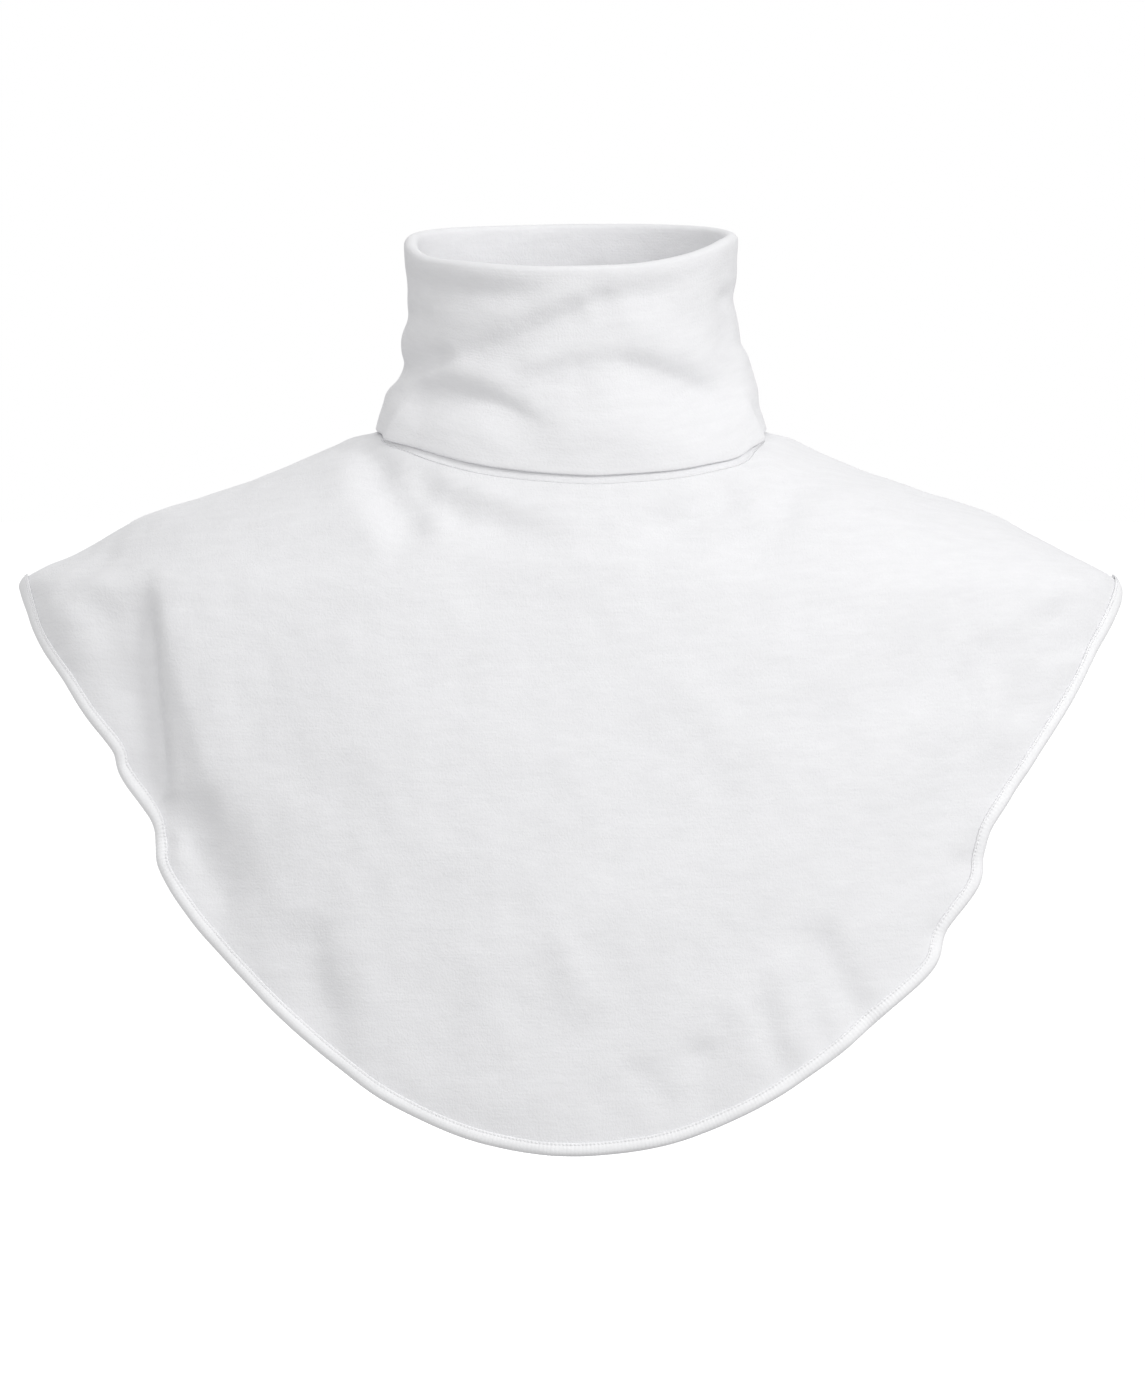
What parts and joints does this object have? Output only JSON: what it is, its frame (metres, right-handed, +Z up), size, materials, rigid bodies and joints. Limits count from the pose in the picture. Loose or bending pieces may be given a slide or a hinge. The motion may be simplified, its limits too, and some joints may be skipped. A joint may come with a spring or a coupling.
{
  "type": "turtleneck dickey collar",
  "caption": "Detachable jersey collar: a turned-down turtleneck on a rounded bib that lies over the shoulders, chest and upper back, with a bound hem.",
  "frame": {"origin": "middle of the neck, level with the neck seam at the sides of the neck: the mount neck, where the collar sits on its wearer", "axes": "+Z up along the neck, -Y to the wearer's front, +X to the wearer's left"},
  "size_m": [0.44, 0.2471, 0.3551],
  "materials": {
    "jersey": "matt brushed white knit with fine upright wales",
    "binding_jersey": "matt white knit strip, stitched and finely puckered"
  },
  "bodies": {
    "root": {"collar": "jersey", "bib": "jersey", "hem_binding": "binding_jersey"}
  },
  "joints": []
}
